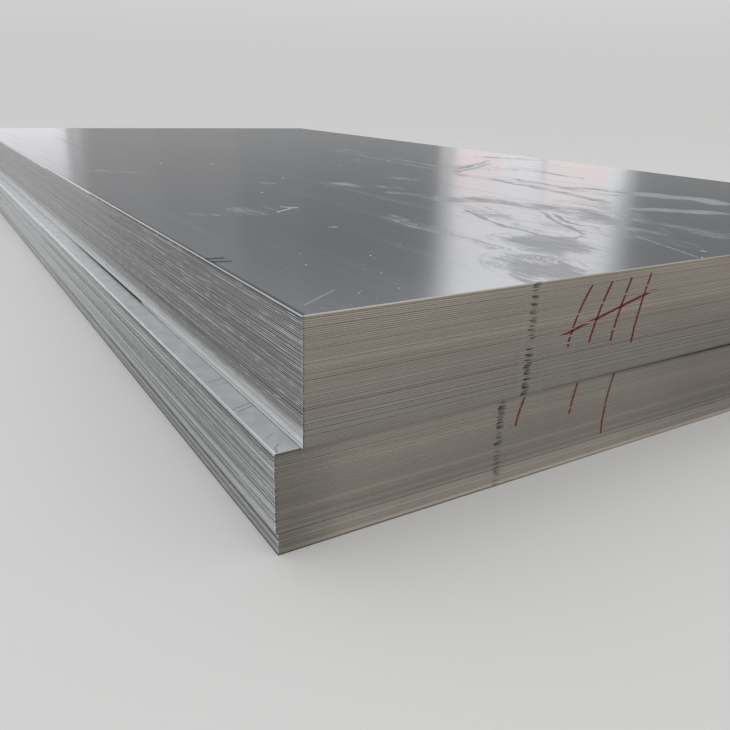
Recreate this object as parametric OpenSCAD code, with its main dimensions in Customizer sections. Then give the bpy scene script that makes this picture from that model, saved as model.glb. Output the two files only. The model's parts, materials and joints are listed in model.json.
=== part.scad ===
// A stack of steel sheet: two packs of thin sheets, the upper one set over to the right.
// X runs across the sheets, Y along them and Z up. The origin is on the floor, under the
// middle of the stack, and the front of the stack faces -Y.

/* [Sheet] */
// Width of a sheet, across the stack
sheet_w = 1500; // [600:10:2500]
// Length of a sheet, along the stack
sheet_l = 3000; // [1000:10:6000]
// Thickness of a sheet
sheet_t = 2; // [0.8:0.1:6]

/* [Packs] */
// Sheets in the lower pack
lower_count = 54; // [20:1:80]
// Sheets in the upper pack
upper_count = 63; // [20:1:80]
// Air between a sheet and the next one, left by their waviness
sheet_gap = 0.15; // [0.05:0.05:0.6]
// Air between the two packs
pack_gap = 0.8; // [0.2:0.1:0.9]
// Ledge that the upper pack leaves free along the left side of the lower one
ledge_w = 28; // [0:1:120]
// Overhang of the upper pack past the front of the lower one
overhang_l = 5.5; // [0:0.5:60]

/* [Bottom lift] */
// Sheets at the bottom of the lower pack that were laid down first, as a lift of their own
lift_count = 12; // [1:1:19]
// Distance that this lift lies to the right of the sheets above it
lift_shift = 3; // [0:0.5:10]

/* [Stagger] */
// Largest offset of a sheet across its pack
stagger_w = 0.3; // [0:0.1:3]
// Largest offset of a sheet along its pack
stagger_l = 0.5; // [0:0.1:3]

/* [Strap dents] */
// Distance of the dents in the front edges from the left side of their pack
dent_inset = 288; // [50:1:550]
// Width of a dent along the sheet's edge
dent_w = 11; // [4:0.5:30]
// Depth of the deepest dents into the sheet
dent_d = 1.2; // [0.3:0.1:2]
// Depth of the shallowest dents
dent_d_least = 0.6; // [0.3:0.1:2]
// Largest distance of a dent from the line that they follow
dent_wander = 1.5; // [0:0.5:6]
// Share of the sheets that a strap has dented
dent_share = 0.35; // [0:0.05:1]

/* [Hidden] */
// Step from one sheet's underside to the next one's
pitch = sheet_t + sheet_gap;
// Height of a pack, from its lowest face to its highest
function pack_h(count) = count * pitch - sheet_gap;
upper_base = pack_h(lower_count) + pack_gap;
// Radius of a round cutter that leaves a dent of the stated width at this depth
function dent_r(depth) = (dent_w * dent_w / 4 + depth * depth) / (2 * depth);
// How far a cutter runs past the faces that it goes through
cut_past = 0.1;
// Seeds of the random draws, so that a stack always comes out the same
lower_seed = 11;
upper_seed = 29;
// Power that shapes the stagger: 1 spreads it evenly, 3 leaves only a few sheets standing proud
even_stagger = 1;
rare_stagger = 3;

// Offsets of a pack's sheets, from -most to most
function stagger(count, most, power, seed) =
    [for (draw = rands(-1, 1, count, seed)) most * sign(draw) * pow(abs(draw), power)];

// Space that a strap has pressed into the front edge of a sheet, beside the line of dents
module strap_dent(beside, depth) {
    r = dent_r(depth);
    translate([dent_inset + beside - sheet_w / 2, depth - r - sheet_l / 2, -cut_past])
        cylinder(r = r, h = sheet_t + 2 * cut_past, $fn = 64);
}

// One sheet, centred in plan, with its underside at z = 0
module sheet() {
    translate([-sheet_w / 2, -sheet_l / 2, 0])
        cube([sheet_w, sheet_l, sheet_t]);
}

// One pack of sheets with its underside at z = 0, of which the lowest ones may be a lift
module pack(count, seed, in_lift = 0) {
    across = stagger(count, stagger_w, even_stagger, seed);
    along = stagger(count, stagger_l, rare_stagger, seed + 1);
    dent_draw = rands(0, 1, count, seed + 2);
    dent_beside = rands(-dent_wander, dent_wander, count, seed + 3);
    dent_depth = rands(dent_d_least, dent_d, count, seed + 4);
    for (i = [0 : count - 1]) {
        slipped = i < in_lift ? lift_shift : 0;
        translate([across[i] + slipped, along[i], i * pitch])
            difference() {
                sheet();
                if (dent_draw[i] < dent_share)
                    strap_dent(dent_beside[i], dent_depth[i]);
            }
    }
}

module lower_pack() {
    color([0.46, 0.45, 0.43])
        translate([-ledge_w / 2, overhang_l / 2, 0])
            pack(lower_count, lower_seed, in_lift = lift_count);
}

module upper_pack() {
    color([0.50, 0.51, 0.52])
        translate([ledge_w / 2, -overhang_l / 2, upper_base])
            pack(upper_count, upper_seed);
}

lower_pack();
upper_pack();
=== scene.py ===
"""Looks of a stack of steel sheet in two packs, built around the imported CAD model."""

import json
import math
import random
from collections import namedtuple

import bpy
import numpy as np
from mathutils import Matrix, Vector

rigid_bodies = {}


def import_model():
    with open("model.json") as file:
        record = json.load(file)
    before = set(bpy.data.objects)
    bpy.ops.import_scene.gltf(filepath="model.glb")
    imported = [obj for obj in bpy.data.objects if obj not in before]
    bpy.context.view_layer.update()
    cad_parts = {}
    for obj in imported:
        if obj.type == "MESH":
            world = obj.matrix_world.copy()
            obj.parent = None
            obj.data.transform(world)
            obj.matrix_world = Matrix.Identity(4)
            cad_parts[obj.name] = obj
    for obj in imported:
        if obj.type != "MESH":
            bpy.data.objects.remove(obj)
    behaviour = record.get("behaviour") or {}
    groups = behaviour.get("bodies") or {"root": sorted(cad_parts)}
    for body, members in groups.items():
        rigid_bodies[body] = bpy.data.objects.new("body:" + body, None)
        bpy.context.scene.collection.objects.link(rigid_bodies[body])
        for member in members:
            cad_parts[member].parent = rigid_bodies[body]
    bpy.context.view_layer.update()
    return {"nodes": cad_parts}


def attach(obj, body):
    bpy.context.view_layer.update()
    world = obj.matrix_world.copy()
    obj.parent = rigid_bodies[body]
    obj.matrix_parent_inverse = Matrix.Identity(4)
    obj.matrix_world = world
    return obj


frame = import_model()

MM = 0.001
# Height within which two levels count as one
LEVEL_SLACK = 0.01 * MM

# Camera of the photograph, solved from the stack's straight edges in a frame of 730 x 730 pixels
IMAGE_PX = 730
FOCAL_PX = 723.0
SENSOR_MM = 36.0
CAMERA_YAW = math.radians(31.996)
CAMERA_PITCH = math.radians(-20.733)
CAMERA_ROLL = math.radians(1.754)
CAMERA_FROM_CORNER = Vector((-0.2823, -0.5606, 0.1907))
CLIP_START = 0.05


class Graph:
    """Short calls that add nodes to a material or world. Those that make a value return its socket."""

    def __init__(self, owner):
        owner.use_nodes = True
        self.tree = owner.node_tree
        self.tree.nodes.clear()

    def add(self, kind, **settings):
        node = self.tree.nodes.new(kind)
        for key, value in settings.items():
            setattr(node, key, value)
        return node

    def feed(self, socket, value):
        if isinstance(value, bpy.types.NodeSocket):
            self.tree.links.new(value, socket)
        else:
            socket.default_value = value

    def math(self, operation, a, b=0.0):
        node = self.add("ShaderNodeMath", operation=operation)
        self.feed(node.inputs[0], a)
        self.feed(node.inputs[1], b)
        return node.outputs[0]

    def plus(self, a, b):
        return self.math("ADD", a, b)

    def times(self, a, b):
        return self.math("MULTIPLY", a, b)

    def minus(self, a, b):
        return self.math("SUBTRACT", a, b)

    def most(self, a, b):
        return self.math("MAXIMUM", a, b)

    def size(self, a):
        """a without its sign."""
        return self.math("ABSOLUTE", a)

    def inverse(self, a):
        return self.minus(1.0, a)

    def limit(self, a):
        """a, held between 0 and 1."""
        return self.most(self.math("MINIMUM", a, 1.0), 0.0)

    def shade(self, tone, mask, change):
        """Tone, lightened or darkened by the share that change states where mask is 1."""
        return self.times(tone, self.plus(1.0, self.times(mask, change)))

    def vary(self, tone, noise, amount):
        """Tone, spread over a range of this amount by a noise of 0 to 1."""
        return self.times(tone, self.plus(1.0 - amount / 2, self.times(noise, amount)))

    def vector_math(self, operation, a, b=(0, 0, 0)):
        node = self.add("ShaderNodeVectorMath", operation=operation)
        self.feed(node.inputs[0], a)
        self.feed(node.inputs[1], b)
        return node.outputs["Value" if operation in ("DOT_PRODUCT", "LENGTH") else "Vector"]

    def scaled(self, vector, factor):
        node = self.add("ShaderNodeVectorMath", operation="SCALE")
        self.feed(node.inputs[0], vector)
        self.feed(node.inputs["Scale"], factor)
        return node.outputs["Vector"]

    def split(self, vector):
        node = self.add("ShaderNodeSeparateXYZ")
        self.feed(node.inputs[0], vector)
        return node.outputs

    def join(self, x=0.0, y=0.0, z=0.0):
        node = self.add("ShaderNodeCombineXYZ")
        for socket, value in zip(node.inputs, (x, y, z)):
            self.feed(socket, value)
        return node.outputs[0]

    def ramp(self, value, low, high, to_low=0.0, to_high=1.0):
        """Smooth step of value from to_low at low to to_high at high."""
        node = self.add("ShaderNodeMapRange", interpolation_type="SMOOTHSTEP", clamp=False)
        for socket, v in zip(node.inputs, (value, low, high, to_low, to_high)):
            self.feed(socket, v)
        return node.outputs[0]

    def noise(self, vector, scale=1.0, detail=2.0, roughness=0.5, output="Fac"):
        node = self.add("ShaderNodeTexNoise")
        self.feed(node.inputs["Vector"], vector)
        node.inputs["Scale"].default_value = scale
        node.inputs["Detail"].default_value = detail
        node.inputs["Roughness"].default_value = roughness
        return node.outputs[output]

    def plane_noise(self, a, a_scale, b, b_scale, seed, detail=2.0, roughness=0.5):
        """Noise over two coordinates, each with a scale of its own."""
        place = self.join(self.times(a, a_scale), self.times(b, b_scale), seed)
        return self.noise(place, detail=detail, roughness=roughness)

    def draw(self, number):
        """Random value from 0 to 1 that belongs to a number."""
        node = self.add("ShaderNodeTexWhiteNoise", noise_dimensions="1D")
        self.feed(node.inputs["W"], number)
        return node.outputs["Value"]

    def mix(self, factor, a, b):
        node = self.add("ShaderNodeMix", data_type="FLOAT")
        self.feed(node.inputs[0], factor)
        self.feed(node.inputs[2], a)
        self.feed(node.inputs[3], b)
        return node.outputs[0]

    def blend(self, factor, a, b, blend_type="MIX"):
        """Mix of two colours."""
        node = self.add("ShaderNodeMix", data_type="RGBA", blend_type=blend_type)
        self.feed(node.inputs[0], factor)
        self.feed(node.inputs[6], a)
        self.feed(node.inputs[7], b)
        return node.outputs[2]

    def grey(self, value):
        """Colour with the same red, green and blue."""
        node = self.add("ShaderNodeCombineColor")
        for socket in node.inputs[:3]:
            self.feed(socket, value)
        return node.outputs[0]

    def segment(self, point, a, b, half_width, core=0.3):
        """1 near the line from a to b in plan, fading out to 0 at half_width from it."""
        start = Vector((*a, 0.0))
        along = Vector((*b, 0.0)) - start
        from_a = self.vector_math("SUBTRACT", point, tuple(start))
        reach = self.vector_math("DOT_PRODUCT", from_a, tuple(along / along.length_squared))
        nearest = self.scaled(tuple(along), self.limit(reach))
        distance = self.vector_math("LENGTH", self.vector_math("SUBTRACT", from_a, nearest))
        return self.ramp(distance, core * half_width, half_width, 1.0, 0.0)

    def bump(self, shader, height, distance, strength=1.0):
        """Bump on a shader, from a height of 0 to 1 that stands for this distance."""
        node = self.add("ShaderNodeBump")
        node.inputs["Strength"].default_value = strength
        node.inputs["Distance"].default_value = distance
        self.feed(node.inputs["Height"], height)
        self.feed(shader.inputs["Normal"], node.outputs[0])

    def output(self, shader, kind="ShaderNodeOutputMaterial"):
        """Makes a shader the one that is rendered."""
        self.feed(self.add(kind).inputs[0], shader.outputs[0])


def rgb(r, g, b):
    return (r, g, b, 1.0)


# Sheets as the frame has them
def sheets_of(node):
    """Lowest and highest corner of each sheet of a pack, from the bottom up."""
    points = np.array([v.co for v in frame["nodes"][node].data.vertices])
    levels = np.unique(np.round(points[:, 2], 5))
    sheets = []
    for bottom, top in zip(levels[0::2], levels[1::2]):
        own = points[(points[:, 2] > bottom - LEVEL_SLACK) & (points[:, 2] < top + LEVEL_SLACK)]
        sheets.append((Vector(own.min(0)), Vector(own.max(0))))
    return sheets


def dent_line(node, sheets):
    """x of the column of strap dents, from the points that lie a little behind the front edges."""
    nearest, farthest = 0.3 * MM, 5 * MM
    found = []
    for vertex in frame["nodes"][node].data.vertices:
        front = min(sheets, key=lambda sheet: abs(sheet[0].z + sheet[1].z - 2 * vertex.co.z))[0].y
        if nearest < vertex.co.y - front < farthest:
            found.append(vertex.co.x)
    return sum(found) / len(found)


def slip_index(sheets):
    """Number of the sheet above the widest sideways step in a pack."""
    return max(range(1, len(sheets)), key=lambda k: abs(sheets[k][0].x - sheets[k - 1][0].x))


def pack_corner(sheets):
    """Nominal near left corner of a pack in plan, and its highest z."""
    x = sum(low.x for low, high in sheets) / len(sheets)
    y = sum(low.y for low, high in sheets) / len(sheets)
    return Vector((x, y, sheets[-1][1].z))


UPPER = sheets_of("upper_pack")
LOWER = sheets_of("lower_pack")
PITCH = UPPER[1][0].z - UPPER[0][0].z
UPPER_CORNER = pack_corner(UPPER)
LOWER_CORNER = pack_corner(LOWER)
TOP_Z = UPPER_CORNER.z


# Marks on the rolled faces, in plan and in metres
# A film of dried oil: points along its stroke, half its width, and its strength
OIL_FILMS = [
    ([(-0.555, -0.910), (-0.545, -0.960)], 0.034, 0.62),
    ([(-0.505, -0.890), (-0.505, -0.930), (-0.530, -0.975)], 0.010, 0.42),
    ([(-0.695, -0.920), (-0.645, -0.925), (-0.610, -0.955)], 0.020, 0.38),
    ([(-0.365, -0.575), (-0.355, -0.615)], 0.024, 0.50),
    ([(-0.210, -0.670), (-0.190, -0.715)], 0.048, 0.66),
    ([(-0.245, -0.625), (-0.215, -0.660)], 0.030, 0.45),
    ([(-0.150, -0.725), (-0.130, -0.760)], 0.036, 0.52),
    ([(-0.190, -0.815), (-0.155, -0.875), (-0.170, -0.935)], 0.022, 0.52),
    ([(-0.045, -0.550), (-0.030, -0.600)], 0.032, 0.38),
    ([(-0.020, -0.615), (-0.005, -0.640)], 0.038, 0.54),
    ([(0.125, -0.150), (0.110, -0.210)], 0.026, 0.62),
    ([(-0.360, -1.075), (-0.365, -1.215)], 0.026, 0.60),
    ([(0.230, 0.205), (0.180, -0.495)], 0.014, 0.75),
    ([(0.285, 0.195), (0.245, -0.405)], 0.016, 0.70),
    ([(-0.370, -0.220), (-0.325, -0.165)], 0.018, 0.55),
    ([(-0.670, -0.240), (-0.575, -0.320)], 0.034, 0.60),
    ([(0.235, -0.485), (0.375, -0.385), (0.520, -0.290)], 0.014, 0.80),
    ([(0.205, -0.530), (0.295, -0.475), (0.445, -0.370)], 0.016, 0.76),
    ([(0.605, -0.190), (0.690, -0.280)], 0.070, 0.50),
    ([(0.170, -0.570), (0.185, -0.790), (0.145, -1.090)], 0.026, 0.66),
    ([(0.240, -0.660), (0.240, -0.865), (0.245, -1.020)], 0.026, 0.62),
    ([(-0.130, -0.935), (-0.070, -0.985), (-0.035, -1.055), (0.005, -1.120)], 0.060, 0.76),
    ([(-0.195, -1.065), (-0.230, -1.155), (-0.240, -1.290)], 0.009, 0.90),
    ([(-0.240, -1.290), (-0.205, -1.330), (-0.175, -1.315), (-0.080, -1.120)], 0.009, 0.90),
    ([(-0.170, -1.100), (-0.185, -1.280)], 0.075, 0.48),
    ([(-0.135, -1.040), (-0.145, -1.145)], 0.008, 0.65),
    ([(0.005, -1.120), (-0.050, -1.245)], 0.072, 0.76),
    ([(-0.075, -1.150), (-0.120, -1.250), (-0.105, -1.285)], 0.008, 0.90),
    ([(-0.065, -1.280), (-0.040, -1.320)], 0.032, 0.36),
    ([(-0.275, -1.335), (-0.290, -1.365)], 0.092, 1.00),
    ([(-0.310, -1.290), (-0.360, -1.365)], 0.006, 0.60),
    ([(-0.385, -1.430), (-0.400, -1.465)], 0.082, 0.98),
    ([(-0.355, -1.230), (-0.365, -1.340)], 0.022, 0.46),
    ([(-0.450, -1.470), (-0.460, -1.500)], 0.008, 0.85),
    ([(-0.370, -1.480), (-0.345, -1.495)], 0.013, 0.60),
    ([(0.080, -1.100), (-0.080, -1.300)], 0.110, 0.42),
    ([(-0.080, -1.020), (-0.150, -1.250)], 0.150, 0.30),
    ([(0.300, -0.420), (0.420, -0.520)], 0.100, 0.42),
    ([(0.320, -1.015), (0.345, -1.055), (0.365, -1.110)], 0.052, 1.05),
    ([(0.370, -1.120), (0.360, -1.170)], 0.050, 1.30),
    ([(0.130, -1.165), (0.190, -1.215), (0.235, -1.255)], 0.036, 0.95),
    ([(0.275, -0.895), (0.300, -0.955), (0.300, -1.020)], 0.026, 0.78),
    ([(0.400, -0.475), (0.440, -0.595), (0.435, -0.740)], 0.022, 0.62),
    ([(0.025, -1.255), (0.025, -1.410)], 0.042, 0.56),
    ([(-0.070, -1.345), (-0.110, -1.465)], 0.024, 0.36),
]
# Share of the steel that the thickest film covers, how far its strokes waver, in metres, and its colour
FILM_MOST = 0.98
FILM_WAVER = 0.045
FILM_COLOUR = rgb(0.338, 0.343, 0.360)
# Share of the steel's metallic reflection that a full film takes away, and the roughness that it adds
FILM_DULLS = 0.78
FILM_ROUGHENS = 0.30
# Colour of dust and of light scratches
DUST_COLOUR = rgb(0.66, 0.65, 0.64)
# A scratch: its ends, half its width, and how much it lightens or darkens the steel
TOP_SCRATCHES = [
    ((-0.719, -1.473), (-0.667, -1.437), 0.0016, 0.32),
    ((-0.509, -0.961), (-0.460, -0.925), 0.0034, 0.85),
    ((-0.458, -0.930), (-0.479, -0.912), 0.0045, 0.85),
    ((-0.106, -1.356), (-0.154, -1.493), 0.0030, 0.40),
    ((-0.734, -1.249), (-0.715, -1.251), 0.0060, -0.80),
    ((-0.732, -1.267), (-0.715, -1.271), 0.0055, -0.75),
    ((-0.496, -1.116), (-0.487, -1.120), 0.0050, 0.55),
]
LEDGE_SCRATCHES = [
    ((-0.757, -1.296), (-0.738, -1.292), 0.0016, -0.45),
    ((-0.756, -1.309), (-0.738, -1.308), 0.0016, -0.40),
    ((-0.760, -1.382), (-0.738, -1.375), 0.0016, -0.55),
    ((-0.757, -1.390), (-0.738, -1.383), 0.0016, -0.50),
    ((-0.760, -1.495), (-0.757, -1.485), 0.0014, -0.50),
    ((-0.757, -1.485), (-0.751, -1.480), 0.0014, -0.50),
    ((-0.756, -1.462), (-0.746, -1.456), 0.0022, -0.25),
]


# Highest base colour on an edge, and the metallic share that the palest edges lose: those with the painted
# sheen low on the left side and the painted highlight on the top burr
LIGHTEST_EDGE = 0.95
PAINTED_LIGHT_DULLS = 0.70
# Stretch of the left side, in y, with painted shade for the gap where the lowest sheets stand off the ledge:
# its soft near end, the step to a wider gap, and its soft far end
GAP_SHADE_NEAR_END = (-1.10, -0.95)
GAP_SHADE_STEP = (-0.945, -0.930)
GAP_SHADE_FAR_END = (-0.75, -0.22)

# A point on a pack: its place and normal, the number of its sheet, its height as a share of the sheet's pitch
# and of the whole pack, and 1 for is_left on the left side
Spot = namedtuple("Spot", "x y z normal index within share is_left")


def spot_on(g, sheets):
    """The point that is being shaded."""
    x, y, z = g.split(g.add("ShaderNodeTexCoord").outputs["Object"])
    normal = g.split(g.add("ShaderNodeNewGeometry").outputs["True Normal"])
    level = g.math("DIVIDE", g.minus(z, sheets[0][0].z - LEVEL_SLACK), PITCH)
    index = g.math("FLOOR", level)
    within = g.math("FRACT", level)
    share = g.math("DIVIDE", level, len(sheets))
    is_left = g.ramp(normal[0], -0.60, -0.45, 1.0, 0.0)
    return Spot(x, y, z, normal, index, within, share, is_left)


def at_sheet(g, spot, number):
    """1 on the sheet with this number."""
    return g.ramp(g.size(g.minus(spot.index, number)), 0.2, 0.8, 1.0, 0.0)


def sheet_draw(g, spot, seed):
    """Random value from 0 to 1 of each sheet."""
    return g.draw(g.plus(spot.index, seed))


# What is added to a look's seed below keeps its noises and draws apart
def side_dashes(g, spot, look):
    """Noise in short dashes along the long edges, of each sheet's own."""
    return g.plane_noise(spot.y, 30.0, spot.index, 9.17, look["seed"] + 80.0)


def side_lines(g, spot, dashes, look):
    """Tone of the long edges: shear grey with fine bright lines and dashes, the lines in part painted
    highlights of sheet edges that stand proud.
    """
    seed = look["seed"]
    long_run = g.plane_noise(spot.y, 2.2, spot.index, 7.31, seed, detail=1.0)
    bright = g.times(g.ramp(long_run, *look["bright_line_range"]), g.ramp(dashes, 0.25, 0.60, 0.45, 1.0))
    bright = g.times(bright, g.ramp(spot.share, 0.75, 1.0, 1.0, 1.5))
    tone = g.plus(1.0, g.times(bright, look["bright_line"]))
    tone = g.plus(tone, g.times(g.ramp(dashes, 0.56, 0.70), look["bright_dash"]))
    tone = g.mix(g.ramp(spot.within, 0.38, 0.58), g.plus(0.72, g.times(tone, 0.28)), tone)
    line = g.times(g.ramp(spot.within, 0.28, 0.50), g.ramp(spot.within, 0.78, 0.95, 1.0, 0.0))
    line = g.plus(0.45, g.times(g.minus(line, 0.45), g.ramp(dashes, 0.30, 0.62, 0.50, 1.15)))
    tone = g.times(tone, g.mix(line, *look["side_line"]))
    for number, change in look["side_lines"]:
        tone = g.shade(tone, at_sheet(g, spot, number), change)
    return tone


def side_shades_and_painted_light(g, spot, look):
    """Broad tones of the long edges: painted light that makes the left side lighter far away, tones by sheet
    and in bands, and darker towards the bottom.
    """
    seed = look["seed"]
    speckle = g.plane_noise(spot.y, 190.0, spot.z, 900.0, seed + 140.0, roughness=0.6)
    bands = g.plane_noise(spot.y, 1.1, spot.z, look["side_band_scale"], seed + 20.0)
    # Painted light: the left side painted lighter towards the far end and darker again near the back end; the
    # right side takes a fixed 1.3
    far = g.times(g.ramp(spot.y, -1.45, 0.50, 1.0, look["side_painted_far_light"]), g.ramp(spot.y, 0.45, 1.40, 1.0, 0.65))
    tone = g.times(look["side_base"], g.mix(spot.is_left, 1.3, far))
    tone = g.times(tone, g.mix(sheet_draw(g, spot, seed), *look["sheet_spread"]))
    tone = g.vary(tone, bands, look["side_band"])
    tone = g.vary(tone, speckle, 0.60)
    tone = g.times(tone, g.ramp(spot.share, 0.0, look["darker_to_bottom"], 0.78, 1.0))
    from_corner = g.minus(spot.y, look["front"])
    tone = g.times(tone, g.plus(1.0, g.ramp(from_corner, 1.0 * MM, 3.5 * MM, 0.30, 0.0)))
    return g.shade(tone, at_sheet(g, spot, look["last"] - 1), -0.45)


def top_burr_highlight(g, spot, look):
    """1 on the burr along a pack's top, where a highlight is painted, which takes in more sheets the farther
    away it is.
    """
    taken_in = g.ramp(spot.y, -1.10, 0.40, 0.5, 2.6)
    return g.ramp(g.plus(spot.index, taken_in), look["last"] - 0.05, look["last"] + 0.05)


def painted_foot_sheen(g, spot, dashes, look):
    """Painted sheen low on the left side, above the ledge: a painted reflection of the ledge."""
    foot = g.times(g.ramp(spot.share, *look["painted_sheen_range"], 1.0, 0.0), g.times(spot.is_left, look["foot"]))
    return g.times(foot, g.ramp(dashes, 0.30, 0.65, 0.86, 1.0))


def painted_gap_shade(g, spot, look):
    """Painted shade low on the left side, for the gap where the lowest sheets stand off the ledge."""
    gap = g.plus(g.ramp(spot.y, *GAP_SHADE_NEAR_END, 0.0, 0.45), g.ramp(spot.y, *GAP_SHADE_STEP, 0.0, 0.55))
    gap = g.times(gap, g.ramp(spot.y, *GAP_SHADE_FAR_END, 1.0, 0.0))
    second = g.times(at_sheet(g, spot, 1), g.ramp(spot.y, *GAP_SHADE_STEP, 0.0, 0.8))
    lowest = g.plus(at_sheet(g, spot, 0), second)
    return g.times(g.times(gap, lowest), g.times(spot.is_left, look["foot"]))


def side_tone(g, spot, look):
    """Tone of the long edges, with a painted highlight on the top burr, a painted sheen and painted gap
    shade, and how matt and pale the painted sheen and highlight make them.
    """
    dashes = side_dashes(g, spot, look)
    tone = g.times(side_lines(g, spot, dashes, look), side_shades_and_painted_light(g, spot, look))
    # Painted highlight on the top burr, lighter and paler towards the far end
    burr = top_burr_highlight(g, spot, look)
    tone = g.mix(g.times(burr, g.ramp(spot.y, -1.40, -0.90, *look["burr"])), tone, look["top_edge_highlight"])
    burr_highlight_pale = g.times(burr, g.ramp(spot.y, -1.40, -0.70, *look["burr_highlight_pale"]))
    # Painted sheen above the ledge, a painted reflection of it
    foot = painted_foot_sheen(g, spot, dashes, look)
    tone = g.mix(foot, tone, look["painted_sheen_tone"])
    # Painted shade for the gap under the lowest sheets on the left side
    gap = painted_gap_shade(g, spot, look)
    tone = g.math("MINIMUM", g.shade(tone, gap, -0.9), LIGHTEST_EDGE)
    return tone, g.most(g.times(foot, g.inverse(gap)), burr_highlight_pale)


def dent_darkening(g, spot, look):
    """Darker in the strap dents, less so to their right, and the smudges that a strap left on other sheets.
    """
    seed = look["seed"] + 400.0
    depth = g.minus(spot.y, look["front"])
    deep = g.times(g.ramp(depth, 0.50 * MM, 0.60 * MM), g.ramp(depth, 2.0 * MM, 4.0 * MM, 1.0, 0.0))
    flank = g.ramp(g.size(spot.normal[0]), 0.02, 0.06)
    beside = g.minus(spot.x, look["dent_x"])
    dent = g.times(g.most(deep, flank), g.ramp(g.size(beside), 8.0 * MM, 9.0 * MM, 1.0, 0.0))
    dent = g.times(dent, g.ramp(beside, -4.0 * MM, 7.0 * MM, 1.0, 0.40))
    dent = g.times(dent, g.mix(sheet_draw(g, spot, seed), 0.55, 1.0))
    wander = g.times(g.minus(sheet_draw(g, spot, seed + 17.0), 0.5), 5.0 * MM)
    smudge = g.ramp(g.size(g.plus(beside, wander)), 1.5 * MM, 6.5 * MM, 1.0, 0.0)
    smudge = g.times(smudge, g.ramp(sheet_draw(g, spot, seed + 41.0), 0.50, 0.80, 0.06, 0.60))
    return g.times(g.most(dent, smudge), g.ramp(spot.normal[1], -0.80, -0.60, 1.0, 0.0))


def corner_gap_shade(g, spot, from_corner, seed):
    """Painted shade in dots along the near left corner, in the gaps between one sheet and the next."""
    dot = g.ramp(from_corner, 0.8 * MM, 2.4 * MM, 1.0, 0.0)
    dot = g.times(dot, g.ramp(spot.within, 0.30, 0.60, 1.0, 0.15))
    return g.times(dot, g.ramp(sheet_draw(g, spot, seed + 31.0), 0.10, 0.40, 0.3, 1.0))


def end_lines(g, spot, from_corner, look, seed):
    """Tone of the short edges: even, and finely lined near the upper left."""
    draw = sheet_draw(g, spot, seed)
    run = g.plane_noise(spot.x, 6.0, spot.index, 4.7, seed, detail=3.0, roughness=0.6)
    mottle = g.plane_noise(spot.x, 560.0, spot.z, 520.0, seed)
    cloud = g.plane_noise(spot.x, 4.0, spot.z, 14.0, seed)
    tone = g.vary(look["end_base"], run, 0.14)
    tone = g.vary(tone, mottle, 0.28)
    tone = g.vary(tone, cloud, 0.24)
    tone = g.shade(tone, g.ramp(draw, 0.88, 0.93), 0.16)
    tone = g.shade(tone, g.ramp(draw, 0.06, 0.12, 1.0, 0.0), -0.06)
    near = g.times(g.ramp(spot.share, 0.45, 1.0), g.ramp(from_corner, 0.02, 0.60, 1.0, 0.25))
    return g.shade(tone, g.ramp(spot.within, 0.25, 0.70, -1.0, 1.0), g.mix(near, 0.04, 0.19))


def end_tone(g, spot, look):
    """Tone of the short edges, with painted shade lower down, a painted reflection high on the right, a dark
    corner, painted shade in the corner's gaps, darker dents, and single sheets painted darker or lighter for
    shadows and highlights.
    """
    seed = look["seed"] + 200.0
    from_corner = g.minus(spot.x, look["left"])
    tone = end_lines(g, spot, from_corner, look, seed)
    # Painted shade: the end darker towards the bottom
    tone = g.times(tone, g.mix(spot.share, *look["end_painted_shade"]))
    tone = g.times(tone, g.ramp(from_corner, 0.0, 0.10, look["end_near"], 1.0))
    tone = g.times(tone, g.ramp(spot.x, -0.30, -0.10, 1.0, look["end_right"]))
    # Painted reflection, lighter high on the right of the upper pack's end
    painted_reflection = g.ramp(spot.share, 0.50, 0.80, 0.0, look["end_painted_reflection"])
    tone = g.shade(tone, g.ramp(spot.x, -0.40, -0.15), painted_reflection)
    lift = g.ramp(spot.share, 0.20, 0.24, look["end_lift"], 0.0)
    tone = g.shade(tone, g.ramp(from_corner, 0.0, 0.10, 0.15, 1.0), lift)
    # Painted shade in the gaps at the near left corner
    tone = g.shade(tone, corner_gap_shade(g, spot, from_corner, seed), -0.70)
    tone = g.shade(tone, dent_darkening(g, spot, look), -0.80)
    # Single sheets painted darker or lighter: painted shadows along the seam between the packs and at the
    # floor, painted highlights on the top edge and at the lowest lift's step, and the floor's painted
    # reflection on the lowest sheets
    rightward = g.ramp(spot.x, -0.60, 0.10)
    for number, change_left, change_right in look["end_lines"]:
        tone = g.shade(tone, at_sheet(g, spot, number), g.mix(rightward, change_left, change_right))
    return tone


def edge_look(g, spot, is_side, look):
    """Colour, metallic share and roughness of the sheared edges."""
    side, pale = side_tone(g, spot, look)
    side_colour = g.blend(1.0, g.grey(side), look["side_tint"], "MULTIPLY")
    # The ends turn warmer towards the top: painted warm light on the steel's own warm grey
    end_tint = g.blend(spot.share, look["end_tint_low"], look["end_tint_high"])
    end_colour = g.blend(1.0, g.grey(end_tone(g, spot, look)), end_tint, "MULTIPLY")
    colour = g.blend(is_side, end_colour, side_colour)
    # The painted sheen and painted highlight on the long edges also take away metallic reflection
    metal = g.plus(1.0, g.times(g.times(pale, is_side), -PAINTED_LIGHT_DULLS))
    rough = g.mix(is_side, look["end_roughness"], look["side_roughness"])
    return colour, metal, rough


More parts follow.
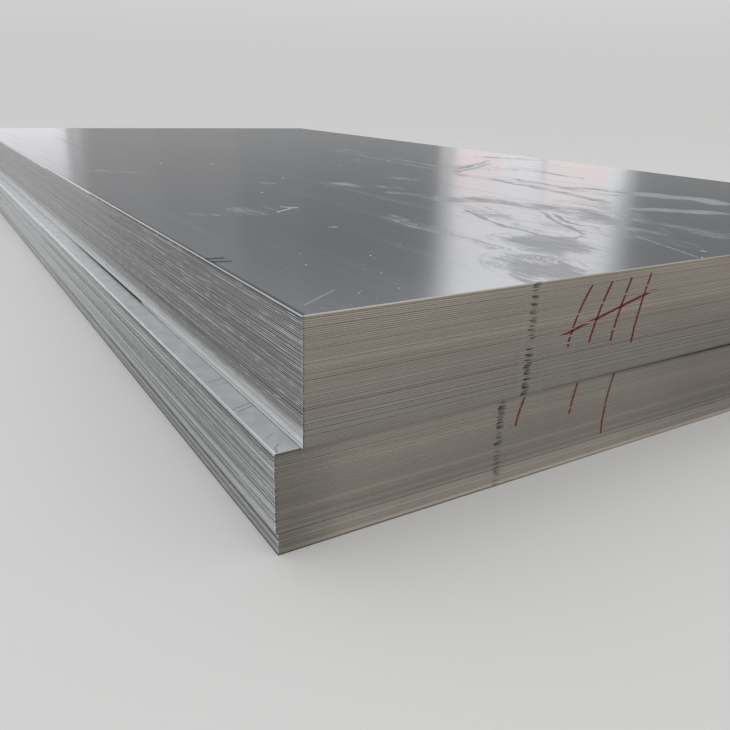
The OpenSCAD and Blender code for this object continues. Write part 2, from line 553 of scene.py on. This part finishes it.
def film_cover(g, point, films):
    """Share of film on a face: soft strokes, wiped thin in places and drawn into lines along the sheet."""
    warp = g.vector_math("SUBTRACT", g.noise(point, scale=11.0, detail=3.0, output="Color"), (0.5, 0.5, 0.5))
    wavy = g.vector_math("ADD", point, g.scaled(warp, FILM_WAVER))
    wavy = g.vector_math("MULTIPLY", wavy, (1.0, 1.0, 0.0))
    wavy_x, wavy_y, _ = g.split(wavy)
    smear = g.plane_noise(wavy_x, 24.0, wavy_y, 13.0, 6.0, detail=5.0, roughness=0.66)
    flow = g.plane_noise(wavy_x, 120.0, wavy_y, 8.0, 2.0, detail=3.0, roughness=0.6)
    body = 0.0
    for points, half_width, strength in films:
        for a, b in zip(points, points[1:]):
            body = g.most(body, g.times(g.segment(wavy, a, b, half_width, 0.25), strength))
    broken = g.plus(body, g.times(g.minus(smear, 0.5), 2.0))
    broken = g.plus(broken, g.times(g.minus(flow, 0.5), 1.5))
    film = g.times(g.ramp(broken, 0.25, 1.25, 0.0, FILM_MOST), g.ramp(body, 0.0, 0.40))
    rim = g.times(g.ramp(body, 0.08, 0.20), g.ramp(body, 0.20, 0.36, 1.0, 0.0))
    return g.most(film, g.times(rim, g.ramp(flow, 0.40, 0.62, 0.0, 0.25)))


def face_film(g, x, y, look):
    """Share of film on a face, with faint streaks along the sheet."""
    streaks = g.plane_noise(x, 26.0, y, 0.9, 5.0, detail=5.0, roughness=0.6)
    film = g.times(g.ramp(streaks, 0.54, 0.74), look["streak"])
    if look["films"]:
        film = g.most(film_cover(g, g.join(x, y, 0.0), look["films"]), film)
    return film


def face_dust(g, x, y):
    """Flecks of dust, in patches."""
    fleck = g.noise(g.join(x, y, 0.0), scale=300.0, detail=1.0)
    patch = g.noise(g.join(x, y, 2.0), scale=5.0, detail=2.0)
    return g.times(g.ramp(fleck, 0.74, 0.79), g.ramp(patch, 0.45, 0.62))


def scratched(g, x, y, tone, dust, scratches):
    """Tone and dust of a face with its scratches: light ones look like dust, dark ones darken the tone."""
    point = g.join(x, y, 0.0)
    broken = g.ramp(g.noise(g.join(x, y, 4.0), scale=260.0), 0.32, 0.52)
    for a, b, half_width, change in scratches:
        line = g.times(g.segment(point, a, b, half_width), broken)
        if change > 0:
            dust = g.most(dust, g.times(line, change))
        else:
            tone = g.shade(tone, line, change)
    return tone, dust


def face_tone(g, x, y, grain, look):
    """Tone of the bare steel of a rolled face, with a rim along its left side and painted light along the
    sheet.
    """
    clouds = g.plane_noise(x, 2.3, y, 1.0, 8.0, detail=4.0, roughness=0.55)
    mottle = g.plane_noise(x, 60.0, y, 36.0, 11.0, detail=3.0)
    tone = g.plus(0.87, g.plus(g.times(grain, 0.10), g.times(clouds, 0.16)))
    tone = g.plus(tone, g.times(g.minus(mottle, 0.5), look["mottle"]))
    rim_low, rim_high = look["rim_range"]
    rim = g.ramp(g.minus(x, look["left"]), rim_low * MM, rim_high * MM, 1.0, 0.0)
    tone = g.shade(tone, rim, look["rim"])
    # Painted light: the top face darker and the ledge lighter towards the far end
    return g.times(tone, g.ramp(y, -1.35, -0.30, 1.0, look["face_painted_far_light"]))


def face_look(g, x, y, grain, look):
    """Colour, metallic share and roughness of the rolled faces."""
    film = face_film(g, x, y, look)
    tone = face_tone(g, x, y, grain, look)
    tone, dust = scratched(g, x, y, tone, face_dust(g, x, y), look["scratches"])
    colour = g.blend(1.0, g.grey(tone), look["face_tint"], "MULTIPLY")
    colour = g.blend(film, colour, FILM_COLOUR)
    colour = g.blend(dust, colour, DUST_COLOUR)
    metal = g.times(g.times(look["face_metal"], g.inverse(dust)), g.inverse(g.times(film, FILM_DULLS)))
    rough = g.plus(look["roughness"], g.times(film, FILM_ROUGHENS))
    rough = g.plus(rough, g.times(g.minus(grain, 0.5), 0.08))
    return colour, metal, rough


def sheet_steel(name, sheets, look):
    """Rolled steel on the faces and sheared steel on the edges, told apart by the surface's normal."""
    material = bpy.data.materials.new(name)
    g = Graph(material)
    spot = spot_on(g, sheets)
    face = g.ramp(g.size(spot.normal[2]), 0.55, 0.85)
    is_side = g.ramp(g.size(spot.normal[0]), 0.45, 0.60)
    grain = g.plane_noise(spot.x, 420.0, spot.y, 2.2, 3.0, detail=3.0, roughness=0.65)
    shear_place = g.join(g.times(spot.x, 1400.0), g.times(spot.y, 1400.0), g.times(spot.z, 90.0))
    shear_marks = g.noise(shear_place, detail=2.0)
    edge_colour, edge_metal, edge_rough = edge_look(g, spot, is_side, look)
    face_colour, face_metal, face_rough = face_look(g, spot.x, spot.y, grain, look)

    shader = g.add("ShaderNodeBsdfPrincipled")
    g.feed(shader.inputs["Base Color"], g.blend(face, edge_colour, face_colour))
    g.feed(shader.inputs["Metallic"], g.mix(face, edge_metal, face_metal))
    g.feed(shader.inputs["Roughness"], g.mix(face, edge_rough, face_rough))
    shader.inputs["Specular Tint"].default_value = look["grazing_tint"]
    shader.inputs["Specular IOR Level"].default_value = look["specular"]
    g.bump(shader, g.mix(face, shear_marks, g.times(grain, 0.25)), 0.05 * MM, strength=0.25)
    g.output(shader)
    return material


# Looks of the packs: colours, tones and the factors that change them. A pair is a range, and rim_range is in
# mm. A line is a sheet's number and the change of its tone, in end_lines at the left and at the right
LIFT = slip_index(LOWER)
UPPER_LAST = len(UPPER) - 1
LOWER_LAST = len(LOWER) - 1
UPPER_LOOK = {
    "seed": 3.0,
    "last": UPPER_LAST,
    "left": UPPER_CORNER.x,
    "front": UPPER_CORNER.y,
    "dent_x": dent_line("upper_pack", UPPER),
    "face_tint": rgb(0.372, 0.387, 0.401),
    "face_metal": 1.0,
    "roughness": 0.21,
    "grazing_tint": rgb(0.355, 0.36, 0.365),
    "specular": 0.0,
    "films": OIL_FILMS,
    "streak": 0.14,
    "mottle": 0.05,
    "scratches": TOP_SCRATCHES,
    "rim": -0.48,
    "rim_range": (1.0, 6.0),
    # Painted light along the sheet: the top face darker towards the far end
    "face_painted_far_light": 0.93,
    "side_base": 0.385,
    # Painted light on the left side, lighter towards the far end
    "side_painted_far_light": 2.75,
    "sheet_spread": (0.84, 1.16),
    "side_tint": rgb(1.0, 1.0, 1.01),
    "side_roughness": 0.40,
    "side_band_scale": 60.0,
    "side_band": 0.25,
    "side_line": (0.62, 1.45),
    "side_lines": [],
    "bright_line_range": (0.56, 0.66),
    "bright_line": 0.80,
    "bright_dash": 0.60,
    # Share of the pack's height over which the long edges get darker towards the bottom
    "darker_to_bottom": 0.001,
    # Painted sheen above the ledge and painted gap shade under the upper pack: strength, height range and
    # tone of the sheen
    "foot": 1.0,
    "painted_sheen_range": (0.06, 0.21),
    "painted_sheen_tone": 0.82,
    # Painted highlight on the top burr: its weight in the tone, its tone and its paleness
    "top_edge_highlight": 0.90,
    "burr": (0.62, 1.0),
    "burr_highlight_pale": (0.40, 1.25),
    "end_base": 0.350,
    # Painted shade, darker towards the bottom of the end
    "end_painted_shade": (0.90, 1.08),
    "end_near": 1.0,
    "end_right": 1.0,
    # Painted reflection, high on the right of the end
    "end_painted_reflection": 0.14,
    "end_lift": 0.0,
    "end_tint_low": rgb(1.0, 0.930, 0.845),
    "end_tint_high": rgb(1.0, 0.892, 0.775),
    "end_roughness": 0.48,
    # Painted shadow along the seam under the pack, and a painted highlight on the top edge with lines below
    # it
    "end_lines": [
        (0, -0.28, -1.00), (1, 0.00, -0.28),
        (UPPER_LAST, 0.75, 0.25), (UPPER_LAST - 1, -0.15, -0.10), (UPPER_LAST - 2, 0.10, 0.05),
    ],
}
LOWER_LOOK = {
    **UPPER_LOOK,
    "seed": 71.0,
    "last": LOWER_LAST,
    "left": LOWER_CORNER.x,
    "front": LOWER_CORNER.y,
    "dent_x": dent_line("lower_pack", LOWER),
    "face_tint": rgb(0.505, 0.523, 0.533),
    "face_metal": 0.35,
    "roughness": 0.48,
    "specular": 0.5,
    "films": [],
    "streak": 0.0,
    "mottle": 0.45,
    "scratches": LEDGE_SCRATCHES,
    "rim": 0.70,
    "rim_range": (0.8, 2.0),
    # Painted light: the ledge lighter towards the far end
    "face_painted_far_light": 1.30,
    "side_base": 0.515,
    "side_painted_far_light": 2.3,
    "sheet_spread": (0.54, 1.40),
    "side_band_scale": 165.0,
    "side_band": 1.10,
    "side_line": (0.66, 1.38),
    "side_lines": [
        (0, -0.60), (1, 0.40), (2, 0.20), (4, -0.38), (5, 0.25),
        (7, 0.32), (8, -0.38), (10, 0.28), (11, -0.42),
    ],
    "bright_line_range": (0.52, 0.60),
    "bright_line": 0.85,
    "bright_dash": 0.40,
    "darker_to_bottom": 0.26,
    "foot": 0.0,
    "top_edge_highlight": 0.95,
    "burr": (0.50, 0.90),
    "burr_highlight_pale": (0.0, 0.40),
    "end_base": 0.343,
    "end_painted_shade": (0.95, 1.03),
    "end_near": 0.70,
    "end_right": 0.90,
    "end_painted_reflection": 0.0,
    "end_lift": 0.46,
    "end_tint_low": rgb(1.0, 0.912, 0.810),
    "end_tint_high": rgb(1.0, 0.907, 0.800),
    # Painted shadow under the upper pack at the top, a painted highlight over a painted shadow at the lowest
    # lift's step, and at the bottom a painted shadow on the left and the floor's painted reflection
    "end_lines": [
        (LOWER_LAST, -0.44, -0.88), (LOWER_LAST - 1, -0.20, -0.30), (LOWER_LAST - 2, -0.12, -0.12),
        (LIFT, 0.18, 0.18), (LIFT - 1, -0.28, -0.28), (0, -0.40, 0.25), (1, 0.40, 0.70), (2, 0.30, 0.50),
    ],
}


# Rollover along the sheared edges, the distance within which points are one, and the turn of a sharp edge
ROLLOVER = 0.07 * MM
WELD_WITHIN = 0.005 * MM
SHARP_EDGE = math.radians(40)


def finish_pack(node, material):
    """Gives a pack's sheets their finish and a small rollover along the sheared edges."""
    obj = frame["nodes"][node]
    obj.data.materials.clear()
    obj.data.materials.append(material)
    weld = obj.modifiers.new("weld_corners", "WELD")
    weld.merge_threshold = WELD_WITHIN
    bevel = obj.modifiers.new("edge_rollover", "BEVEL")
    bevel.width = ROLLOVER
    bevel.segments = 2
    bevel.limit_method = "ANGLE"
    bevel.angle_limit = SHARP_EDGE
    bevel.harden_normals = True


finish_pack("upper_pack", sheet_steel("upper_sheet_steel", UPPER, UPPER_LOOK))
finish_pack("lower_pack", sheet_steel("lower_sheet_steel", LOWER, LOWER_LOOK))


def joined_piece(name, verts, faces, material, smooth=False):
    """One mesh that rides on the stack."""
    mesh = bpy.data.meshes.new(name)
    mesh.from_pydata(verts, [], faces)
    mesh.materials.append(material)
    if smooth:
        mesh.polygons.foreach_set("use_smooth", [True] * len(mesh.polygons))
    piece = bpy.data.objects.new(name, mesh)
    bpy.context.scene.collection.objects.link(piece)
    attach(piece, "root")
    return piece


# Crayon strokes on the front edges
# Ends of a stroke (x from the pack's left side, z from its underside), its bow to the left, all in mm
UPPER_STROKES = [
    ((378, 122), (350, 50), 5),
    ((412, 123), (386, 50), 3),
    ((446, 124), (424, 46), 2),
    ((482, 126), (464, 38), 3),
    ((340, 66), (494, 104), 0),
]
LOWER_STROKES = [
    ((322, 111), (312, 76), 1),
    ((410, 113), (402, 72), 1),
    ((476, 114), (468, 30), 4),
]
CRAYON_HALF_WIDTH = 2.0 * MM
CRAYON_HEIGHT = 0.12 * MM
# Outline of a pad of wax across its stroke, in shares of its half width and its height
PAD_OUTLINE = ((-1, -0.2), (-0.6, 1), (0.6, 1), (1, -0.2))
# Range of the pads' widths, their distance from the sheet's faces in mm, and the share of sheets left out
PAD_WIDTHS = (0.86, 1.10)
PAD_CLEAR = 0.05
SKIPPED_SHARE = 0.03
WAX_DARK = rgb(0.085, 0.018, 0.020)
WAX_RED = rgb(0.21, 0.014, 0.022)


def stroke_x(stroke, z):
    """x of a stroke's centre line at height z, on the bow between its two ends."""
    (x0, z0), (x1, z1), bow = stroke
    t = (z - z0) / (z1 - z0)
    return x0 + (x1 - x0) * t - 4 * bow * t * (1 - t)


def crayon_marks(name, sheets, strokes, material, seed):
    """Wax that a crayon left on each sheet edge it crossed, as one joined mesh of thin pads."""
    rng = random.Random(seed)
    corner = pack_corner(sheets)
    base = sheets[0][0].z
    verts, faces = [], []
    for stroke in strokes:
        (x0, z0), (x1, z1), _ = stroke
        slope = abs(z1 - z0) / math.hypot(x1 - x0, z1 - z0)
        low_z, high_z = sorted((z0, z1))
        for low, high in sheets:
            bottom = (low.z - base) / MM + PAD_CLEAR
            top = (high.z - base) / MM - PAD_CLEAR
            if top < low_z or bottom > high_z or rng.random() < SKIPPED_SHARE:
                continue
            bottom, top = max(bottom, low_z), min(top, high_z)
            start = len(verts)
            for level in (bottom, top):
                centre = corner.x + stroke_x(stroke, level) * MM
                half = CRAYON_HALF_WIDTH / slope * rng.uniform(*PAD_WIDTHS)
                for share, depth in PAD_OUTLINE:
                    verts.append((centre + share * half, low.y - depth * CRAYON_HEIGHT, base + level * MM))
            a, b = start, start + 4
            faces += [(a + i, a + i + 1, b + i + 1, b + i) for i in range(3)]
            faces += [(a + 3, a, b, b + 3), (a + 3, a + 2, a + 1, a), (b, b + 1, b + 2, b + 3)]
    return joined_piece(name, verts, faces, material)


def crayon_wax():
    """Red wax, worn dark in places."""
    material = bpy.data.materials.new("red_crayon_wax")
    g = Graph(material)
    point = g.add("ShaderNodeTexCoord").outputs["Object"]
    grain = g.noise(point, scale=900.0, detail=3.0, roughness=0.7)
    worn = g.ramp(grain, 0.30, 0.70)
    shader = g.add("ShaderNodeBsdfPrincipled")
    g.feed(shader.inputs["Base Color"], g.blend(worn, WAX_DARK, WAX_RED))
    g.feed(shader.inputs["Roughness"], g.mix(worn, 0.75, 0.55))
    shader.inputs["Specular IOR Level"].default_value = 0.3
    g.bump(shader, grain, 0.1 * MM, strength=0.4)
    g.output(shader)
    return material


WAX = crayon_wax()
crayon_marks("upper_crayon_marks", UPPER, UPPER_STROKES, WAX, 5)
crayon_marks("lower_crayon_marks", LOWER, LOWER_STROKES, WAX, 6)


# Specks of dust and two dried drops on the top sheet
# Place in plan in metres, radius across and along the sheet in mm
PLACED_SPECKS = [
    (-0.291, -0.521, 3.6, 4.5), (-0.436, -0.731, 3.0, 3.6), (-0.014, -0.301, 3.4, 4.4),
    (-0.321, -0.152, 3.4, 5.0), (-0.452, -0.120, 3.8, 6.0), (-0.650, -1.458, 1.2, 1.2),
    (-0.602, -1.459, 1.3, 1.3), (-0.545, -1.311, 1.6, 1.7), (-0.583, -1.395, 1.5, 1.5),
    (-0.642, -1.325, 1.5, 1.5), (-0.111, -1.472, 2.4, 4.5), (-0.150, -1.498, 1.8, 2.0),
]
# Line in plan along which flecks are strewn, and how far they spread from it across and along the sheet
FLECK_PATCH = ((-0.376, -1.396), (-0.354, -1.442))
FLECK_SPREAD = (0.012, 0.010)
PATCH_FLECKS = 80
# Specks all over the sheet, their distance from its edges, and the power that gathers them at the near end
LOOSE_SPECKS = 150
SPECK_INSET = 0.02
NEARNESS = 1.6
# Corners of a speck's outline, its height as a share of its smaller radius, and its largest height
SPECK_SIDES = 9
SPECK_RISE = 0.10
SPECK_HEIGHT = 0.2 * MM
DUST_DARK = rgb(0.44, 0.43, 0.42)
DUST_LIGHT = rgb(0.72, 0.71, 0.69)


def speck(verts, faces, x, y, half_x, half_y, rng):
    """Adds a low uneven dome that sits on the top sheet."""
    sides = SPECK_SIDES
    start = len(verts)
    ring = [rng.uniform(0.75, 1.2) for _ in range(sides)]
    height = min(SPECK_RISE * min(half_x, half_y), SPECK_HEIGHT)
    for share, lift in ((1.0, -0.1), (0.72, 0.7)):
        for i in range(sides):
            angle = 2 * math.pi * i / sides
            reach = share * ring[i]
            place = (x + reach * half_x * math.cos(angle), y + reach * half_y * math.sin(angle))
            verts.append((*place, TOP_Z + lift * height))
    verts.append((x, y, TOP_Z + height))
    verts.append((x, y, TOP_Z - 0.1 * height))
    peak, foot = start + 2 * sides, start + 2 * sides + 1
    for i in range(sides):
        j = (i + 1) % sides
        low_i, low_j = start + i, start + j
        high_i, high_j = low_i + sides, low_j + sides
        faces.append((low_i, low_j, high_j, high_i))
        faces.append((high_i, high_j, peak))
        faces.append((low_j, low_i, foot))


def dust_specks(material):
    """All specks, as one joined mesh."""
    rng = random.Random(12)
    verts, faces = [], []
    for x, y, half_x, half_y in PLACED_SPECKS:
        speck(verts, faces, x, y, half_x * MM, half_y * MM, rng)
    (ax, ay), (bx, by) = FLECK_PATCH
    spread_x, spread_y = FLECK_SPREAD
    for _ in range(PATCH_FLECKS):
        t = rng.random()
        x = ax + (bx - ax) * t + rng.gauss(0, spread_x)
        y = ay + (by - ay) * t + rng.gauss(0, spread_y)
        speck(verts, faces, x, y, rng.uniform(0.8, 2.8) * MM, rng.uniform(0.6, 2.0) * MM, rng)
    low, high = UPPER[-1]
    length = high.y - low.y - 2 * SPECK_INSET
    for _ in range(LOOSE_SPECKS):
        x = rng.uniform(low.x + SPECK_INSET, high.x - SPECK_INSET)
        y = low.y + SPECK_INSET + length * rng.random() ** NEARNESS
        size = rng.uniform(0.4, 1.1) * MM
        speck(verts, faces, x, y, size, size * rng.uniform(0.8, 1.5), rng)
    return joined_piece("dust_specks", verts, faces, material, smooth=True)


def pale_dust():
    """Grainy pale grey."""
    material = bpy.data.materials.new("pale_dust")
    g = Graph(material)
    point = g.add("ShaderNodeTexCoord").outputs["Object"]
    grain = g.noise(point, scale=1500.0, detail=3.0)
    shader = g.add("ShaderNodeBsdfPrincipled")
    g.feed(shader.inputs["Base Color"], g.blend(grain, DUST_DARK, DUST_LIGHT))
    shader.inputs["Roughness"].default_value = 0.8
    g.bump(shader, grain, 0.1 * MM)
    g.output(shader)
    return material


dust_specks(pale_dust())


# Studio
# Strength of the sky at the horizon and high up, and the heights between which it changes, as sines
SKY_LOW = 0.595
SKY_HIGH = 0.92
SKY_CHANGE = (0.02, 0.40)
# Floor, in metres from the middle to a side, and its two tones
FLOOR_HALF = 60.0
FLOOR_DARK = rgb(0.635, 0.635, 0.630)
FLOOR_LIGHT = rgb(0.660, 0.660, 0.655)
# Lamp above the stack, in metres
OVERHEAD_PLACE = (-1.2, -1.0, 4.5)
OVERHEAD_TARGET = (0, -0.2, 0)
OVERHEAD_WIDTH = 4.0
OVERHEAD_LENGTH = 5.0
OVERHEAD_RADIANCE = 0.5
# Panels behind the stack, at this distance from the camera: headings from it in degrees, heights in metres,
# radiance and colour
PANEL_DISTANCE = 10.0
PANELS = [
    (37.2, 38.4, 0.0, 1.3, 0.64, (1.00, 0.95, 0.94)),
    (38.4, 41.8, 0.0, 1.3, 1.34, (1.00, 0.72, 0.74)),
    (41.8, 44.88, 0.0, 1.3, 1.30, (0.95, 0.94, 0.95)),
    (45.12, 49.6, 0.0, 1.3, 1.41, (1.00, 0.72, 0.73)),
    (49.6, 50.9, 0.0, 1.3, 1.34, (0.88, 1.00, 0.96)),
    (50.9, 51.6, 0.0, 1.3, 0.50, (0.95, 1.00, 0.98)),
    (37.4, 38.4, 1.3, 4.2, 1.15, (1.00, 0.99, 0.99)),
    (38.4, 50.5, 1.3, 4.2, 2.65, (1.00, 0.955, 0.95)),
    (50.5, 51.5, 1.3, 4.2, 0.95, (1.00, 0.99, 0.99)),
    (-14.0, 9.9, 0.0, 4.0, 1.46, (1.00, 0.965, 1.00)),
    (9.9, 10.4, 0.0, 4.0, 0.40, (1.00, 0.97, 0.99)),
    (10.4, 10.9, 0.0, 4.0, 0.48, (1.00, 0.97, 0.97)),
    (10.9, 11.4, 0.0, 4.0, 0.16, (1.00, 0.92, 0.86)),
    (11.4, 16.0, 0.0, 1.2, 0.05, (1.00, 0.30, 0.20)),
    (11.4, 16.0, 1.2, 4.2, 0.36, (1.00, 0.97, 0.95)),
    (16.0, 22.0, 0.0, 1.2, 0.03, (1.00, 0.30, 0.20)),
    (16.0, 22.0, 1.2, 4.2, 0.25, (1.00, 0.97, 0.95)),
    (22.0, 27.0, 1.2, 4.2, 0.08, (1.00, 0.98, 0.96)),
]


def camera_axes():
    """Right, up and forward directions of the camera."""
    forward = Vector((
        math.sin(CAMERA_YAW) * math.cos(CAMERA_PITCH),
        math.cos(CAMERA_YAW) * math.cos(CAMERA_PITCH),
        math.sin(CAMERA_PITCH),
    ))
    right = Vector((math.cos(CAMERA_YAW), -math.sin(CAMERA_YAW), 0.0))
    up = right.cross(forward)
    turned_right = right * math.cos(CAMERA_ROLL) + up * math.sin(CAMERA_ROLL)
    turned_up = up * math.cos(CAMERA_ROLL) - right * math.sin(CAMERA_ROLL)
    return turned_right, turned_up, forward


def make_camera():
    """Camera at the photograph's viewing angle."""
    right, up, forward = camera_axes()
    data = bpy.data.cameras.new("camera")
    data.sensor_width = SENSOR_MM
    data.lens = FOCAL_PX / IMAGE_PX * SENSOR_MM
    data.clip_start = CLIP_START
    camera = bpy.data.objects.new("camera", data)
    turn = Matrix((right, up, -forward)).transposed()
    camera.matrix_world = Matrix.Translation(UPPER_CORNER + CAMERA_FROM_CORNER) @ turn.to_4x4()
    bpy.context.scene.collection.objects.link(camera)
    bpy.context.scene.camera = camera
    return camera


def area_lamp(name, place, target, width, height, radiance, colour=(1, 1, 1)):
    """Soft rectangular lamp of the stated radiance that faces a target."""
    data = bpy.data.lights.new(name, "AREA")
    data.shape = "RECTANGLE"
    data.size, data.size_y = width, height
    data.energy = radiance * math.pi * width * height
    data.color = colour
    lamp = bpy.data.objects.new(name, data)
    lamp.location = place
    lamp.rotation_euler = (Vector(target) - Vector(place)).to_track_quat("-Z", "Y").to_euler()
    lamp.visible_camera = False
    bpy.context.scene.collection.objects.link(lamp)
    return lamp


def panel_lamp(name, camera, panel, stack):
    """Standing softbox behind the stack that lights the stack alone."""
    from_deg, to_deg, low, high, radiance, colour = panel
    heading = math.radians((from_deg + to_deg) / 2)
    width = 2 * PANEL_DISTANCE * math.tan(math.radians((to_deg - from_deg) / 2))
    eye = camera.matrix_world.translation
    place = eye + PANEL_DISTANCE * Vector((math.sin(heading), math.cos(heading), 0.0))
    place.z = (low + high) / 2
    lamp = area_lamp(name, place, (eye.x, eye.y, place.z), width, high - low, radiance, colour)
    lamp.light_linking.receiver_collection = stack


def stack_collection():
    """The stack's own objects, for lamps that would leave hot patches on the floor."""
    stack = bpy.data.collections.new("stack")
    for obj in bpy.context.scene.objects:
        if obj.type == "MESH":
            stack.objects.link(obj)
    return stack


def make_world():
    """Even sky that is a little darker near the horizon."""
    world = bpy.data.worlds.new("studio")
    bpy.context.scene.world = world
    g = Graph(world)
    direction = g.add("ShaderNodeTexCoord").outputs["Generated"]
    light = g.ramp(g.split(direction)[2], *SKY_CHANGE, SKY_LOW, SKY_HIGH)
    background = g.add("ShaderNodeBackground")
    background.inputs["Color"].default_value = rgb(1.0, 1.0, 1.0)
    g.feed(background.inputs["Strength"], light)
    g.output(background, "ShaderNodeOutputWorld")


def pale_floor():
    """Faintly mottled matt grey."""
    material = bpy.data.materials.new("pale_floor")
    g = Graph(material)
    point = g.add("ShaderNodeTexCoord").outputs["Object"]
    shader = g.add("ShaderNodeBsdfPrincipled")
    mottle = g.noise(point, scale=1.5, detail=3.0)
    g.feed(shader.inputs["Base Color"], g.blend(mottle, FLOOR_DARK, FLOOR_LIGHT))
    shader.inputs["Roughness"].default_value = 0.95
    shader.inputs["Specular IOR Level"].default_value = 0.2
    g.output(shader)
    return material


def make_floor():
    """Wide plain floor that the stack stands on."""
    corners = [(x * FLOOR_HALF, y * FLOOR_HALF, 0) for x, y in ((-1, -1), (1, -1), (1, 1), (-1, 1))]
    mesh = bpy.data.meshes.new("floor")
    mesh.from_pydata(corners, [], [(0, 1, 2, 3)])
    mesh.materials.append(pale_floor())
    floor = bpy.data.objects.new("floor", mesh)
    bpy.context.scene.collection.objects.link(floor)


stack = stack_collection()
camera = make_camera()
make_world()
make_floor()
area_lamp("overhead", OVERHEAD_PLACE, OVERHEAD_TARGET, OVERHEAD_WIDTH, OVERHEAD_LENGTH, OVERHEAD_RADIANCE)
for number, panel in enumerate(PANELS):
    panel_lamp(f"panel_{number}", camera, panel, stack)

bpy.context.scene.view_settings.view_transform = "Standard"
